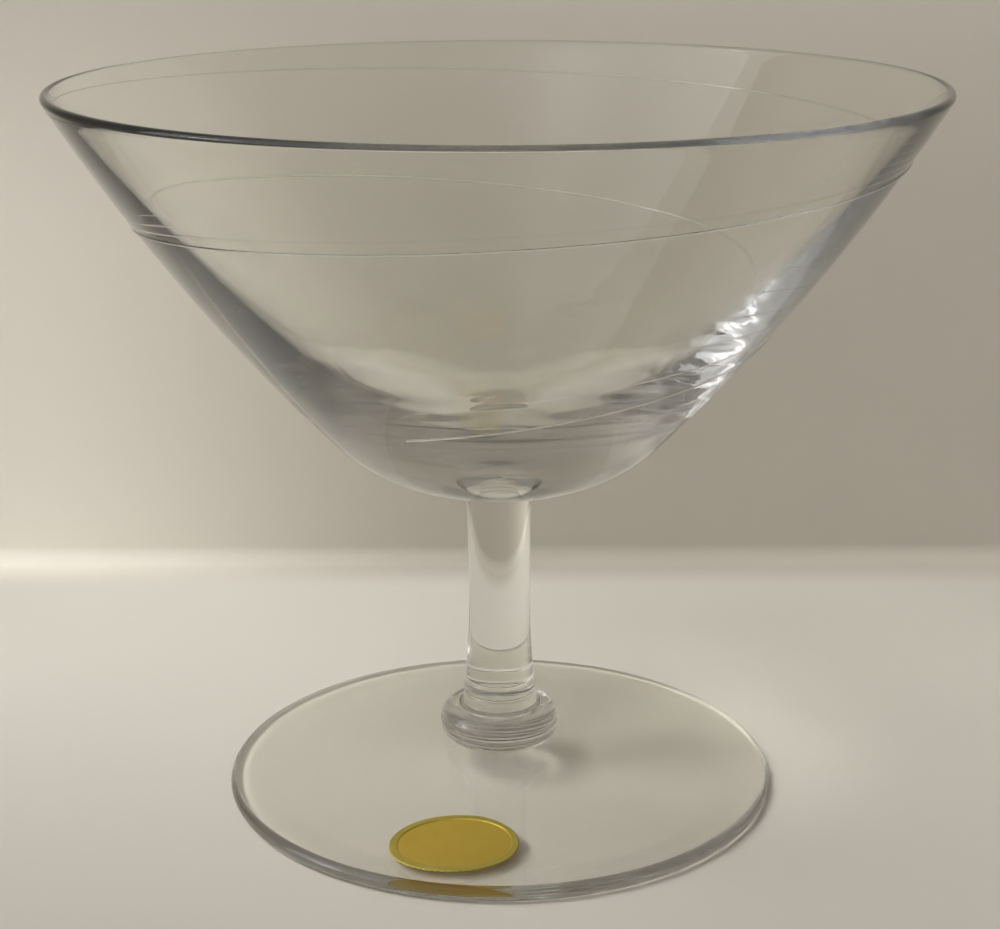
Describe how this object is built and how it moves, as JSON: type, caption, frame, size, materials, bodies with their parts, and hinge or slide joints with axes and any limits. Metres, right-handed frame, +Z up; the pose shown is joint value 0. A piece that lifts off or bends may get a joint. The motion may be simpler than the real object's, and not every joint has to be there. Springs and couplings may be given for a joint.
{
  "type": "sherbet glass",
  "caption": "Stemmed sherbet glass with a wide flared bowl, a short waisted stem on a pressed button, a round foot and a small oval foil seal on the foot.",
  "frame": {"origin": "middle of the resting ring under the foot, on the table's surface", "axes": "+Z up along the glass's own axis, -Y to the front, where the foil seal is, +X to the right seen from the front"},
  "size_m": [0.108, 0.108, 0.091],
  "materials": {
    "bowl_glass": "clear blown glass, fire polished",
    "stem_glass": "clear drawn glass, fire polished",
    "button_glass": "clear pressed glass, fire polished",
    "foot_glass": "clear hand-worked glass, fire polished",
    "gold_foil": "satin embossed gold foil"
  },
  "bodies": {
    "root": {"bowl": "bowl_glass", "stem": "stem_glass", "button": "button_glass", "foot": "foot_glass", "foil_seal": "gold_foil"}
  },
  "joints": []
}
